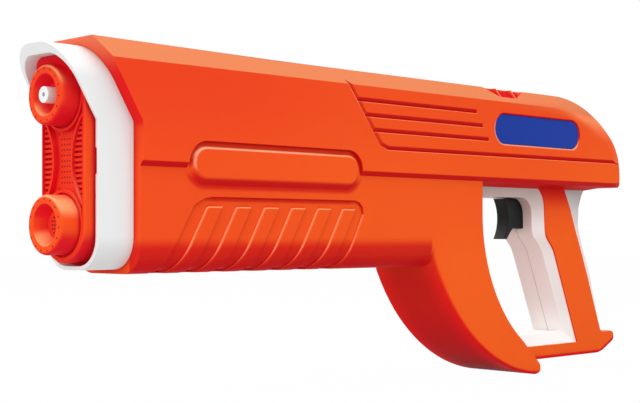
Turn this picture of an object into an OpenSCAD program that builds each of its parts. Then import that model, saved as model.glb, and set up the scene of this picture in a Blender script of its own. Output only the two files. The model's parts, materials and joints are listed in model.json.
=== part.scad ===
// Trigger-pump water squirter with a twin-nozzle front, a rear grip loop and an inner tank.
// Millimetres, +Z up. The front points to -X and the fin tip stands on z = 0.

/* [Body] */
// Front lip to rear end
body_len = 397.5; // [390:0.5:410]
// Half width of the upper body
upper_half = 27; // [26:0.5:29]
// Half width of the lower body and fin
lower_half = 24.6; // [24:0.2:25]
// Wall of the two shells
wall = 2.6; // [2.2:0.1:2.8]
// Belly above the fin tip
belly_z = 67.2; // [67.2:0.1:69]
// Belly to the step between lower and upper body
step_h = 51.3; // [51:0.1:52]
// Belly to the knee where the front starts to lean forward
knee_h = 68.9; // [68:0.1:70]
// Belly to the top edge of the side
side_h = 96.1; // [95.5:0.1:97]
// Belly to the roof
roof_h = 104.5; // [104:0.1:106]
// Half width of the flat roof
ridge_half = 20.5; // [19:0.5:21.5]
// Forward lean of the front, run over rise
rake = 0.6; // [0.55:0.01:0.62]
// Rounding of the belly edges
belly_round = 12; // [11:0.5:13]

/* [Front] */
// Reach of the collar in front of the lip
collar_reach = 19.5; // [18:0.5:21]
// Half width of the collar
collar_half = 20.3; // [20:0.1:20.6]
// Wall of the collar sides
collar_wall = 1.9; // [1.8:0.1:2.1]
// Wall of the hood top
hood_wall = 5; // [4.6:0.1:5.2]
// Lower nozzle above the belly
nozzle_h = 22.3; // [22:0.1:22.8]
// Distance between the two nozzles
nozzle_gap = 57.7; // [57:0.1:58.2]
// Radius of the nozzle rims
rim_r = 13.5; // [13:0.1:13.8]
// Radius of the nozzle mouths
mouth_r = 9; // [8.6:0.1:9.4]
// Radius of the nozzle plate ends
plate_r = 17.1; // [16.8:0.1:17.2]

/* [Side] */
// Length of the side pad
pad_len = 111; // [108:1:114]
// Height of the side pad
pad_h = 16.2; // [15.8:0.1:16.6]
// Width of a panel rib
rib_w = 10; // [8:0.5:11]
// Distance from rib to rib
rib_pitch = 18.2; // [18:0.1:18.4]
// Length of the badge
badge_len = 86; // [80:1:88]
// Height of the badge
badge_h = 17.8; // [16.4:0.2:18.2]
// Depth of the side grooves
groove_depth = 1.6; // [1.2:0.1:1.7]

/* [Grip and trigger] */
// Half width of the grip plates
grip_half = 16; // [15.6:0.1:16.6]
// Thickness of a grip plate
plate_t = 3; // [2.8:0.1:3.1]
// Half width of the trigger
trigger_half = 4.5; // [4:0.1:4.7]
// Travel of the trigger
trigger_travel = 9; // [7:0.5:9]

/* [Pump and tank] */
// Radius of the pump bore
bore_r = 7; // [6.5:0.1:7.2]
// Outside radius of the pump cylinder
cylinder_r = 9.4; // [9.2:0.1:9.8]
// Radius of the check balls
ball_r = 2.6; // [2.5:0.05:2.7]
// Outside radius of the hoses
hose_r = 3.2; // [3:0.1:3.3]
// Half width of the tank
tank_half = 20; // [19:0.5:20]
// Length of the tank
tank_len = 158; // [150:1:160]
// Radius of the filler cap
filler_r = 11.7; // [11:0.1:11.8]

/* [Hidden] */
$fn = 48;
tiny = 0.01;
far = 60;
step_z = belly_z + step_h;
knee_z = belly_z + knee_h;
side_z = belly_z + side_h;
roof_z = belly_z + roof_h;
step_drop = upper_half - lower_half;
under_z = step_z - step_drop;
nozzle_z = belly_z + nozzle_h;
jet_z = nozzle_z + nozzle_gap;

// Slight rise of the roof towards the front
brow_x = 86;
brow_h = 2;
brow_slope = 0.012;

// Rear sweep of the body
sweep_x = body_len - 97.5;
ridge_r = 100;
ridge_x = body_len - 75;
ridge_turn = 50.6;
flank_r = 95;
flank_x = body_len - 87;
flank_end = body_len - 11;
rear_round = wall + 0.6;

// Front collar
collar_top = belly_z + 102.6;
corner_r = 16;
chin_r = 15;
liner_depth = 6;
hood_reach = collar_reach + rake * (collar_top - knee_z);
x0 = (hood_reach - body_len) / 2;
ledge_t = 2.2;
spigot_r = 12;
spigot_fit = 0.1;
flange_r = 14;
plate_x = -24.6;
rim_x = -34;
mouth_depth = 6.3;
floor_r = 6.3;
pin_r = 3.7;
barb_r = 2;
barb_bore = 1.1;
ring_r = 15.8;
ridge_y = 34.6;
ridge_z = nozzle_z + nozzle_gap / 2;
ridge_r0 = 26.8;
ridge_w = 1.2;
edge_w = 1.3;
field_depth = 2.8;
hollow_x = plate_x + field_depth + 2;
bar_step = 2.35;

// Fin
fin_r = 116;
fin_round = 2.2;
fin_root = [body_len - 191.6, belly_z];
belly_end = fin_root[0] + 9;
tip_r = 4;
tip_c = [body_len - 98.2, tip_r];
fin_run = norm(tip_c - fin_root);
fin_dir = (tip_c - fin_root) / fin_run;
fin_mid = (fin_r * fin_r - (fin_r - tip_r) * (fin_r - tip_r) + fin_run * fin_run) / (2 * fin_run);
fin_c = fin_root + fin_mid * fin_dir + sqrt(fin_r * fin_r - fin_mid * fin_mid) * [-fin_dir[1], fin_dir[0]];
fin_a = 180 + asin((fin_c[1] - step_z) / fin_r);
tip_a = 360 + atan2(tip_c[1] - fin_c[1], tip_c[0] - fin_c[0]);
hook_r = 94;
hook_x = body_len - 151;
hook_c = [hook_x + hook_r, belly_z + 30.3];
hook_a = 234.4;

// Grip loop
bar_top = belly_z - 51.2;
bar_low = bar_top - 8.3;
floor_z = bar_top + 7;
ceiling_z = under_z - 8.1;
core_half = grip_half - 1;
inner_half = grip_half - plate_t;
face_half = 11.5;
trigger_top = ceiling_z - 0.7;
trigger_low = ceiling_z - 18.7;
slot_fit = 0.4;
pump_z = trigger_low + 8.9;
spring_z = under_z - 0.6;
tail_x = body_len - 76.5;
tail_t = 3.5;
tail_top = under_z + 4;
cap_x = tail_x + trigger_travel + 1;
cap_t = 3;
rod_r = 3.4;
piston_x = cap_x + cap_t + 2;
piston_l = 6;
head_x = piston_x + piston_l + trigger_travel + 1.5;
head_t = 3;
post_x = head_x - 6.5;
post_t = 3;
riser_x = head_x - 0.5;
riser_r = 4;
riser_top = under_z + 12.4;
run_fit = 0.06;

// Valves
block_z = under_z + 9.4;
block_h = 10;
block_half = 7;
block_x = riser_x - 26;
block_end = riser_x + 6;
gallery_z = block_z + 5;
well_r = ball_r + 0.6;
seat_r = 1.5;
inlet_seat = block_x + 4;
outlet_seat = block_z + block_h + 1;
well_top = outlet_seat + 7;
barb_len = 10;
outlet_z = well_top + 4;

// Tank and filler
tank_x = 26;
tank_low = belly_z + 8.3;
tank_top = belly_z + 78.3;
tank_wall = 1.6;
tank_round = 8;
tank_end = tank_x + tank_len;
neck_x = 100;
neck_r = 10.5;
neck_bore = 8;
neck_flange = filler_r + 2.5;
roof_in = roof_z - wall;
outlet_low = tank_low + tank_round;

// Screws through the shell bosses
screw_at = [
    [14, side_z - 8],
    [14, belly_z + 14],
    [body_len - 192.5, side_z - 4],
    [body_len - 148.5, side_z - 4.2],
    [body_len - 165.5, belly_z - 7],
    [body_len - 118.5, belly_z - 50.5],
    [body_len - 25.5, step_z + 5.5],
    [body_len - 9.5, bar_top - 1]
];
boss_r = 3.4;
screw_r = 1.3;
head_r = 2.9;
head_y = 12;
sink_r = 3.2;

function turned(c, r, a) = c + r * [cos(a), sin(a)];
function arc(c, r, a, b, n = 10) = [for (i = [0:n]) turned(c, r, a + (b - a) * i / n)];
function rear(back, z) = [body_len - back, z];
function flip(rows) = [for (i = [len(rows) - 1:-1:0]) rows[i]];

// Roof slope moved in by a wall
slope_n = [side_z - roof_z, ridge_half - upper_half] / -norm([side_z - roof_z, ridge_half - upper_half]);
slope_c = slope_n * [upper_half, side_z];
function roof_y(d, z = roof_z) = (slope_c - d - slope_n[1] * (z - d)) / slope_n[0];
function shoulder_z(d) = (slope_c - d - slope_n[0] * (upper_half - d)) / slope_n[1];

// Solid through rows of points, each row a closed section
module loft(rows) {
    n = len(rows[0]);
    m = len(rows);
    polyhedron(
        [for (row = rows) for (p = row) p],
        concat(
            [[for (i = [0:n - 1]) i]],
            [for (j = [0:m - 2]) for (i = [0:n - 1]) [j * n + i, (j + 1) * n + i, (j + 1) * n + (i + 1) % n]],
            [for (j = [0:m - 2]) for (i = [0:n - 1]) [j * n + i, (j + 1) * n + (i + 1) % n, j * n + (i + 1) % n]],
            [[for (i = [n - 1:-1:0]) (m - 1) * n + i]]
        )
    );
}

// Side outline carried across the width
module across(half) {
    rotate([90, 0, 0])
        linear_extrude(2 * half, center = true)
            children();
}

// Side outline between two distances from the middle, on both sides
module both_sides(near, away) {
    for (s = [-1, 1])
        translate([0, s * (near + away) / 2, 0])
            rotate([90, 0, 0])
                linear_extrude(away - near, center = true)
                    children();
}

// Front outline carried along the length
module along(a, b) {
    translate([a, 0, 0])
        rotate([90, 0, 90])
            linear_extrude(b - a)
                children();
}

module rod(a, b, z, r) {
    translate([a, 0, z])
        rotate([0, 90, 0])
            cylinder(b - a, r = r);
}

module cone(a, b, z, ra, rb) {
    translate([a, 0, z])
        rotate([0, 90, 0])
            cylinder(b - a, ra, rb);
}

module stadium(length, height) {
    r = height / 2;
    polygon(concat(arc([length / 2 - r, 0], r, -90, 90, 16), arc([r - length / 2, 0], r, 90, 270, 16)));
}

// Slab that follows the leaning front, from a to b behind the lip plane
module lean(a, b) {
    z = roof_z + far;
    run = rake * (z - knee_z);
    across(far)
        polygon([[a, 0], [b, 0], [b, knee_z], [b - run, z], [a - run, z], [a, knee_z]]);
}

module upper_section(d, rise = 0) {
    top = roof_z + rise;
    polygon([
        [upper_half - d, step_z + d / 2], [lower_half - d / 2, under_z + d],
        [d / 2 - lower_half, under_z + d], [d - upper_half, step_z + d / 2],
        [d - upper_half, shoulder_z(d)], [-roof_y(d, top), top - d],
        [roof_y(d, top), top - d], [upper_half - d, shoulder_z(d)]
    ]);
}

// Side outline of the rear, rounded down from the top to the end
function low_corner(end, low, d) =
    let (r = rear_round - d)
    arc([end - r, low + r], r, -90, 0, 5);
function sweep_outline(low, top, cx, r, end) =
    let (cz = top - r, a = acos((end - cx) / r))
    concat(
        [[sweep_x, low]], low_corner(end, low, flank_end - end),
        arc([cx, cz], r, a, 90, 20), [[sweep_x, top]]
    );
function ridge_outline(low, d) =
    let (
        r = ridge_r - d, c = [ridge_x, roof_z - ridge_r], a = ridge_turn,
        end_r = (body_len - ridge_x - ridge_r * cos(a)) / (1 - cos(a)),
        end_c = c + (ridge_r - end_r) * [cos(a), sin(a)]
    )
    concat(
        [[sweep_x, low]], low_corner(body_len - d, low, d),
        arc(end_c, end_r - d, 0, a, 8), arc(c, r, a, 90, 14), [[sweep_x, roof_z - d]]
    );

module upper_rear(d) {
    hull() {
        across(roof_y(d))
            polygon(ridge_outline(under_z + d, d));
        across(upper_half - d)
            polygon(sweep_outline(step_z + d / 2, shoulder_z(d), flank_x, flank_r - d, flank_end - d));
        across(lower_half - d / 2)
            polygon(sweep_outline(under_z + d, shoulder_z(d), flank_x, flank_r - d, flank_end - d));
    }
}

module brow(d) {
    end = brow_x + 10;
    intersection() {
        along(-far, end)
            upper_section(d, brow_h);
        lean(d, body_len);
        across(far)
            polygon([
                [-far, side_z - 4], [end, side_z - 4], [end, roof_z - d - brow_slope * 10],
                [-far, roof_z - d + brow_slope * (brow_x + far)]
            ]);
    }
}

module upper_body(d) {
    intersection() {
        along(-far, sweep_x)
            upper_section(d);
        lean(d, body_len);
    }
    brow(d);
    upper_rear(d);
}

module belly_section(d) {
    r = belly_round;
    y = lower_half - r;
    z = belly_z + r;
    polygon(concat(
        arc([-y, z], r - d, 180, 270), arc([y, z], r - d, 270, 360),
        [[lower_half - d, step_z + d], [d - lower_half, step_z + d]]
    ));
}

module lower_front(d) {
    along(d, belly_end)
        belly_section(d);
}

// Disc with a rounded rim that gives the fin its front face
module fin_disc(r, half, round_r) {
    translate([fin_c[0], 0, fin_c[1]])
        rotate([90, 0, 0])
            rotate_extrude()
                polygon(concat(
                    [[0, -half]],
                    arc([r - round_r, round_r - half], round_r, -90, 0, 7),
                    arc([r - round_r, half - round_r], round_r, 0, 90, 7),
                    [[0, half]]
                ));
}

module fin(d) {
    intersection() {
        across(lower_half + 1)
            polygon(concat(
                arc(fin_c, fin_r + 6, fin_a, tip_a - 8, 14),
                [tip_c - [14, tip_r - d]],
                arc(tip_c, tip_r - d, 270, 407),
                arc(hook_c, hook_r + d, hook_a, 180, 18),
                [[hook_x - d, step_z + d]]
            ));
        fin_disc(fin_r - d, lower_half - d, max(fin_round - d, 0.4));
    }
}

// Inner edge of the grip loop and the line where its bevel starts
loop_edge = concat(
    [rear(152.5, ceiling_z)],
    arc(rear(96, ceiling_z - 10.2), 10.2, 90, 0, 6),
    [
        rear(85.6, ceiling_z - 20.5), rear(84.8, ceiling_z - 22.8), rear(82.8, ceiling_z - 25.2),
        rear(78.6, ceiling_z - 28.9), rear(76.5, ceiling_z - 31.2), rear(74.6, ceiling_z - 34.2),
        rear(52, floor_z), rear(117.5, floor_z)
    ]
);
loop_bevel = concat(
    [rear(152.5, ceiling_z + 8)],
    arc(rear(91.6, ceiling_z - 5.9), 13.9, 90, 0, 6),
    [
        rear(76.8, ceiling_z - 20.8), rear(76, ceiling_z - 23.4), rear(74.4, ceiling_z - 26),
        rear(70, ceiling_z - 30.4), rear(68, ceiling_z - 33), rear(66.4, ceiling_z - 36.4),
        rear(42.5, bar_top), rear(117.5, bar_top)
    ]
);
loop_last = len(loop_edge) - 2;

// Rear edge of the grip and the line where its bevel starts
back_edge = [
    rear(4.5, bar_top + 5.3), rear(9.8, bar_top + 22.5), rear(16.4, bar_top + 42.8), rear(24.2, ceiling_z - 33),
    rear(29.7, ceiling_z - 18.5), rear(29.4, ceiling_z - 6.5), rear(26.6, ceiling_z + 1.5), rear(22, under_z)
];
back_bevel = [
    rear(15.2, bar_top + 5.3), rear(22.6, bar_top + 22.5), rear(31, bar_top + 42.8), rear(38.2, ceiling_z - 33),
    rear(45, ceiling_z - 18.5), rear(50, ceiling_z - 6.5), rear(54.4, ceiling_z + 1.5), rear(58, under_z)
];

// Grip plate between the rear body and the bar
module plate_outline() {
    polygon(concat(
        [rear(91.6, under_z + wall)],
        [for (i = [1:loop_last]) loop_bevel[i]],
        [rear(15.2, bar_top)],
        back_bevel,
        [rear(58, under_z + wall)]
    ));
}

module bar_outline(d) {
    polygon(concat(
        [rear(105.5 + d, bar_low + d), rear(19, bar_low + d), rear(13 + d / 3, bar_low + 1.4 + d)],
        arc(rear(3.6, bar_top + 1.7), 3.6 - d, -60, 90, 8),
        [rear(17 - d, bar_top + 5.3 - d), rear(17 - d, bar_top), rear(105.5 + d, bar_top)]
    ));
}

// Underside of the rear body, sloping down to the grip on both sides
function under_row(x, drop, s) =
    let (near = core_half + 0.05)
    [
        [x, s * 24, under_z + 1], [x, s * 24, under_z + 0.2],
        [x, s * near, under_z - drop], [x, s * near, under_z + 1]
    ];

module under_slope() {
    for (s = [-1, 1]) {
        rows = [
            under_row(hook_x - 1.5, 2.6, s), under_row(body_len - 34, 2.6, s), under_row(body_len - 8, -0.4, s)
        ];
        loft(s < 0 ? rows : flip(rows));
    }
}

// Groove with a slanting upper wall and a sharp lower lip, through side points
function groove_row(p, up, s) = [
    [p[0] + 1.3 * up[0], s * (upper_half + 0.1), p[1] + 1.3 * up[1]],
    [p[0] - 0.9 * up[0], s * (upper_half - groove_depth), p[1] - 0.9 * up[1]],
    [p[0] - 1.1 * up[0], s * (upper_half + 0.1), p[1] - 1.1 * up[1]]
];

module groove(points, ups) {
    for (s = [-1, 1]) {
        rows = [for (i = [0:len(points) - 1]) groove_row(points[i], ups[i], s)];
        loft(s < 0 ? flip(rows) : rows);
    }
}

slant_up = [0.78, 0.63];
slant_run = 0.8;
function slant_x(z) = 133.4 + slant_run * (side_z - z);

module side_grooves() {
    low = step_z + 12.9;
    groove(
        [
            [slant_x(side_z + 3), side_z + 3], [slant_x(low + 2), low + 2],
            [slant_x(low) + 3.5, low], [flank_end + 3, low + 1]
        ],
        [slant_up, slant_up * 1.1, [0.2, 1], [0, 1]]
    );
    for (i = [0:2]) {
        z = side_z - 7.4 - 7.7 * i;
        groove([[slant_x(z), z], rear(159.5 - 5.6 * i, z)], [[0, 1], [0, 1]]);
    }
}

module rib_panel() {
    top = belly_z + 35.5;
    lean_run = 0.57;
    rib_top = top - 4.1;
    intersection() {
        difference() {
            lower_front(-1);
            lower_front(1.4);
        }
        both_sides(8, far)
            difference() {
                polygon([
                    [43, top], [139.5, top], [142.7, top - 1], [145.2, top - 3.4], [146, top - 6.6],
                    [130, belly_z - 2], [12, belly_z - 2],
                    [28.6, top - 9.8], [31, top - 5.7], [34, top - 2.6], [38, top - 0.7]
                ]);
                for (i = [0:5])
                    translate([39.8 + rib_pitch * i, rib_top])
                        polygon([[0, 0], [rib_w, 0], [rib_w - lean_run * 40, -40], [-lean_run * 40, -40]]);
            }
    }
}

// Slanted vent pockets in the roof edges, each with two thin ribs
module roof_vents() {
    intersection() {
        difference() {
            upper_body(-0.5);
            upper_body(1.6);
        }
        both_sides(17.5, far)
            difference() {
                polygon([
                    rear(150.8, roof_z + 2), rear(102.3, roof_z + 2),
                    rear(117.5, side_z + 3.2), rear(134.7, side_z + 3.2)
                ]);
                for (back = [134.3, 119.8])
                    translate(rear(back, side_z))
                        square([1.1, far]);
            }
    }
}

module badge_place(length, height) {
    translate(rear(99.3, side_z - 15.9))
        stadium(length, height);
}

module pad_place(grow) {
    translate([85, step_z - 0.5])
        stadium(pad_len + grow, pad_h + grow);
}

// Side pad, smaller at its face than at its foot
module pad_layer(y, grow, drop) {
    translate([85, y, step_z - 0.5 - drop])
        rotate([90, 0, 0])
            linear_extrude(0.1, center = true)
                stadium(pad_len + grow, pad_h + grow);
}

module side_pads() {
    for (s = [-1, 1])
        hull() {
            pad_layer(s * (lower_half - 1), 3.4, 1);
            pad_layer(s * (upper_half - 0.05), -1.5, -0.65);
        }
}

module stadium_front(r) {
    for (z = [nozzle_z, jet_z])
        translate([0, z])
            circle(r);
    translate([-r, nozzle_z])
        square([2 * r, nozzle_gap]);
}

module outer_shape() {
    upper_body(0);
    lower_front(0);
    fin(0);
}

module shell_pair() {
    difference() {
        union() {
            difference() {
                outer_shape();
                both_sides(lower_half, far)
                    pad_place(5.4);
                side_grooves();
                rib_panel();
                roof_vents();
                both_sides(upper_half - 1.5, far)
                    badge_place(badge_len, badge_h);
            }
            side_pads();
        }
        upper_body(wall);
        lower_front(wall);
        fin(wall);
        along(-far, 8)
            stadium_front(spigot_r + spigot_fit);
        translate([body_len - 81, -10, under_z - 1])
            cube([44, 20, wall + 2]);
        translate([neck_x, 0, roof_z - 2 * wall])
            cylinder(far, r = filler_r + 0.3);
    }
    under_slope();
    both_sides(inner_half, grip_half)
        plate_outline();
    difference() {
        across(grip_half)
            bar_outline(0);
        across(inner_half)
            translate([0, tiny])
                bar_outline(wall);
        fin(wall);
    }
    tank_rests();
}

// Ribs that hold the tank
module tank_rests() {
    for (x = [60, 150])
        both_sides(tank_half, lower_half - 2)
            translate([x, belly_z + 24])
                square([3, 24]);
}

module at_screws() {
    for (p = screw_at)
        translate([p[0], 0, p[1]])
            rotate([90, 0, 0])
                children();
}

// Inside of the outer skin, so that a boss ends in the wall
module boss_room() {
    upper_body(1);
    lower_front(1);
    fin(1);
    across(grip_half - 1)
        bar_outline(1);
}

module half_space(s) {
    translate([-far, s > 0 ? 0 : -far, -far])
        cube([body_len + 2 * far, far, 5 * far]);
}

module half_shell(s) {
    intersection() {
        shell_pair();
        half_space(s);
    }
    intersection() {
        at_screws()
            cylinder(2 * far, r = boss_r, center = true);
        boss_room();
        half_space(s);
    }
}

module left_shell() {
    color("OrangeRed")
        translate([x0, 0, 0])
            difference() {
                half_shell(-1);
                at_screws()
                    cylinder(24, r = screw_r + run_fit, center = true);
            }
}

module right_shell() {
    color("OrangeRed")
        translate([x0, 0, 0])
            difference() {
                half_shell(1);
                at_screws()
                    cylinder(3 * far, r = screw_r + 0.3, center = true);
                at_screws()
                    translate([0, 0, -far - head_y])
                        cylinder(far, r = sink_r);
            }
}

// Front outline of the collar with a rounded top and chin
module rounded_front(half, low, top, top_r, low_r) {
    polygon(concat(
        arc([low_r - half, low + low_r], low_r, 180, 270, 10),
        arc([half - low_r, low + low_r], low_r, 270, 360, 10),
        arc([half - top_r, top - top_r], top_r, 0, 90, 10),
        arc([top_r - half, top - top_r], top_r, 90, 180, 10)
    ));
}

module collar_outline(d) {
    rounded_front(collar_half - d, nozzle_z - collar_half + d, collar_top - d, corner_r - d, chin_r - d);
}

module collar_room(d) {
    half = collar_half - collar_wall - d;
    rounded_front(
        half, nozzle_z - half, collar_top - hood_wall - d,
        corner_r - 4 - d, chin_r - collar_wall - d
    );
}

module front_collar() {
    inner = collar_half - collar_wall;
    color("White")
        translate([x0, 0, 0]) {
            difference() {
                intersection() {
                    along(-far, 10)
                        difference() {
                            collar_outline(0);
                            collar_room(0);
                        }
                    lean(-collar_reach, 0);
                }
                both_sides(inner - 1, inner + 0.8)
                    translate([-collar_reach - 1, nozzle_z + 22.5])
                        square([6, 11.5]);
            }
            intersection() {
                along(-far, 10)
                    difference() {
                        collar_outline(collar_wall / 2);
                        stadium_front(spigot_r + spigot_fit);
                    }
                lean(-ledge_t, 0);
            }
        }
}

// Side ridges of the waist between the nozzles
module waist_ridges() {
    for (s = [-1, 1])
        translate([s * ridge_y, ridge_z])
            difference() {
                circle(ridge_r0 + ridge_w);
                circle(ridge_r0);
            }
}

// Sunk fields of the nozzle plate, between its edge, the nozzle rings and the ridges
module waist_fields() {
    difference() {
        translate([edge_w - plate_r, nozzle_z])
            square([2 * (plate_r - edge_w), nozzle_gap]);
        for (z = [nozzle_z, jet_z])
            translate([0, z])
                circle(ring_r);
        waist_ridges();
    }
}

// Nozzle with a rounded rim, its axis along the length
module nozzle(z) {
    round_r = 1.6;
    translate([rim_x, 0, z])
        rotate([0, 90, 0])
            rotate_extrude()
                polygon(concat(
                    [[0, plate_x - rim_x + field_depth], [0, 0]],
                    arc([rim_r - round_r, round_r], round_r, -90, 0, 6),
                    [[rim_r, plate_x - rim_x + field_depth]]
                ));
}

module nozzle_mouth(z) {
    translate([rim_x, 0, z])
        rotate([0, 90, 0])
            rotate_extrude()
                polygon([
                    [0, -tiny], [mouth_r + 0.9, -tiny], [mouth_r + 0.35, 0.25], [mouth_r, 0.8],
                    [floor_r, mouth_depth], [0, mouth_depth]
                ]);
}

// Nozzle plate with a rounded front edge
module plate_block() {
    round_r = 1.1;
    depth = 10 - plate_x;
    edge = concat(arc([plate_r - round_r, round_r], round_r, -90, 0, 5), [[plate_r, depth]]);
    for (z = [nozzle_z, jet_z])
        translate([plate_x, 0, z])
            rotate([0, 90, 0])
                rotate_extrude()
                    polygon(concat([[0, depth], [0, 0]], edge));
    translate([plate_x, 0, nozzle_z])
        linear_extrude(nozzle_gap)
            polygon(concat(
                [for (p = edge) [p[1], p[0]]],
                [for (p = flip(edge)) [p[1], -p[0]]]
            ));
}

module nozzle_plate() {
    color("OrangeRed")
        translate([x0, 0, 0]) {
            difference() {
                union() {
                    intersection() {
                        plate_block();
                        lean(-far, -ledge_t);
                    }
                    intersection() {
                        along(-far, 10)
                            collar_room(0.2);
                        lean(liner_depth - collar_reach, -ledge_t);
                    }
                    intersection() {
                        along(plate_x + 3, 10)
                            stadium_front(spigot_r);
                        lean(-far, wall + 1);
                    }
                    intersection() {
                        along(plate_x + 3, 10)
                            stadium_front(flange_r);
                        lean(wall, wall + 2);
                    }
                    nozzle(nozzle_z);
                    nozzle(jet_z);
                }
                along(plate_x - 1, plate_x + field_depth)
                    waist_fields();
                for (z = [nozzle_z, jet_z]) {
                    nozzle_mouth(z);
                    difference() {
                        rod(plate_x - 1, plate_x + 1.4, z, ring_r - 1.2);
                        rod(plate_x - 2, plate_x + 2, z, rim_r);
                    }
                }
                along(hollow_x, 10)
                    stadium_front(spigot_r - 2);
                rod(rim_x, 0, jet_z, pin_r + run_fit);
            }
            along(plate_x + 1.2, plate_x + field_depth + tiny)
                intersection() {
                    waist_fields();
                    for (s = [-1, 1])
                        translate([s * ridge_y, ridge_z])
                            circle(ridge_r0 + 0.1);
                    for (i = [-7:7])
                        translate([-plate_r, ridge_z + bar_step * i - bar_step / 4])
                            square([2 * plate_r, bar_step / 2]);
                }
        }
}

module jet_nozzle() {
    color("White")
        translate([x0, 0, 0])
            difference() {
                union() {
                    rod(rim_x - 0.4, -10, jet_z, pin_r);
                    rod(hollow_x, hollow_x + 2, jet_z, pin_r + 2.5);
                    rod(-12, 16, jet_z, barb_r);
                }
                rod(rim_x - 1, 17, jet_z, barb_bore);
            }
}

// Wedge outside the bevel from edge points to bevel points
function bevel_row(e, b, near, away, s) =
    let (out = e + 0.2 * (e - b), in = b + 0.2 * (b - e), slope = 0.2 * (away - near))
    [
        [out[0], s * (near - slope), out[1]],
        [in[0], s * (away + slope), in[1]],
        [out[0], s * (away + slope + 1), out[1]]
    ];

module bevel(edge, start, near, away, s) {
    rows = [for (i = [0:len(edge) - 1]) bevel_row(edge[i], start[i], near, away, s)];
    loft(s > 0 ? flip(rows) : rows);
}

module core_outline() {
    polygon(concat(
        [[hook_x, under_z], [hook_x, ceiling_z]],
        [for (i = [1:loop_last]) loop_edge[i]],
        [rear(113.5, floor_z), rear(105.5, bar_top), rear(17.2, bar_top), rear(17.2, bar_top + 5.3)],
        back_edge
    ));
}

module grip_half_core(s) {
    color("White")
        translate([x0, 0, 0])
            difference() {
                translate([0, s * core_half / 2, 0])
                    across(core_half / 2)
                        core_outline();
                both_sides(inner_half, far)
                    plate_outline();
                bevel(loop_edge, loop_bevel, face_half, core_half, s);
                bevel(back_edge, back_bevel, 8, core_half, s);
                across(10.4)
                    polygon([
                        rear(81.5, under_z + 1), rear(81.5, ceiling_z - 24), rear(72, ceiling_z - 35),
                        rear(50.5, floor_z + 4), rear(14.5, floor_z + 4), rear(24.2, bar_top + 42),
                        rear(38.5, under_z - 26), rear(42, under_z + 1)
                    ]);
                across(6.5)
                    polygon([
                        rear(60, under_z - 30), rear(36.5, under_z - 26),
                        rear(36.5, under_z + 1), rear(60, under_z + 1)
                    ]);
                translate([body_len - 97.5, -trigger_half - slot_fit, trigger_low - slot_fit])
                    cube([20, 2 * (trigger_half + slot_fit), trigger_top - trigger_low + 2 * slot_fit]);
            }
}

module left_grip() {
    grip_half_core(-1);
}

module right_grip() {
    grip_half_core(1);
}

module trigger() {
    scoop_r = 21.5;
    scoop_z = trigger_top - 12.3;
    color("DimGray")
        translate([x0, 0, 0])
            across(trigger_half)
                polygon(concat(
                    [
                        [tail_x, trigger_low], [tail_x, tail_top], [tail_x - tail_t, tail_top],
                        [tail_x - tail_t, trigger_top], rear(104.4, trigger_top)
                    ],
                    arc(rear(100.2 + scoop_r, scoop_z), scoop_r, 34, -36, 14),
                    [rear(101.4, trigger_low - 7), rear(95.2, trigger_low)]
                ));
}

module plunger() {
    color("Ivory")
        translate([x0, 0, 0])
            difference() {
                union() {
                    rod(tail_x, piston_x + 1, pump_z, rod_r);
                    rod(piston_x, piston_x + piston_l, pump_z, bore_r - 0.1);
                }
                difference() {
                    rod(piston_x + 2, piston_x + 4, pump_z, bore_r + 1);
                    rod(piston_x, piston_x + piston_l, pump_z, bore_r - 1.6);
                }
            }
}

module piston_seal() {
    color("Black")
        translate([x0 + piston_x + 3, 0, pump_z])
            rotate([0, 90, 0])
                rotate_extrude()
                    translate([bore_r - 0.82, 0])
                        circle(0.76, $fn = 24);
}

module pump_cylinder() {
    color("Ivory")
        translate([x0, 0, 0])
            difference() {
                union() {
                    rod(cap_x + cap_t, head_x + head_t, pump_z, cylinder_r);
                    translate([riser_x, 0, pump_z])
                        cylinder(riser_top - pump_z, r = riser_r);
                    translate([post_x, -5, pump_z + 7])
                        cube([post_t, 10, spring_z + 4.5 - pump_z - 7]);
                }
                rod(cap_x, head_x, pump_z, bore_r);
                translate([riser_x, 0, pump_z + bore_r - 2])
                    cylinder(far, r = 2);
            }
}

module cylinder_cap() {
    color("Ivory")
        translate([x0, 0, 0])
            difference() {
                rod(cap_x, cap_x + cap_t, pump_z, cylinder_r);
                rod(cap_x - 1, cap_x + cap_t + 1, pump_z, rod_r + run_fit);
            }
}

// Coil from the trigger tail to the post on the cylinder
module trigger_spring() {
    turns = 7;
    coil_r = 2.9;
    wire_r = 0.45;
    steps = 12;
    start = tail_x + wire_r;
    run = post_x - tail_x - 2 * wire_r;
    count = turns * steps;
    sides = 6;
    rows = [
        for (i = [0:count]) let (a = 360 * i / steps, x = start + run * i / count) [
            for (k = [0:sides - 1]) let (b = 360 * k / sides, r = coil_r + wire_r * cos(b))
                [x + wire_r * sin(b), r * cos(a), spring_z + r * sin(a)]
        ]
    ];
    color("Silver")
        translate([x0, 0, 0])
            loft(rows);
}

module valve_block() {
    color("Ivory")
        translate([x0, 0, 0])
            difference() {
                union() {
                    translate([block_x, -block_half, block_z])
                        cube([block_end - block_x, 2 * block_half, block_h]);
                    translate([riser_x, 0, block_z])
                        cylinder(well_top - block_z, r = 6);
                }
                translate([riser_x, 0, block_z - 1])
                    cylinder(riser_top - block_z + 1, r = riser_r + run_fit);
                translate([riser_x, 0, block_z])
                    cylinder(block_h + 2, r = seat_r);
                translate([riser_x, 0, outlet_seat])
                    cylinder(far, r = well_r);
                rod(block_x - 1, block_x + 11, gallery_z, well_r);
                rod(block_x + 10, riser_x, gallery_z, seat_r);
            }
}

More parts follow.
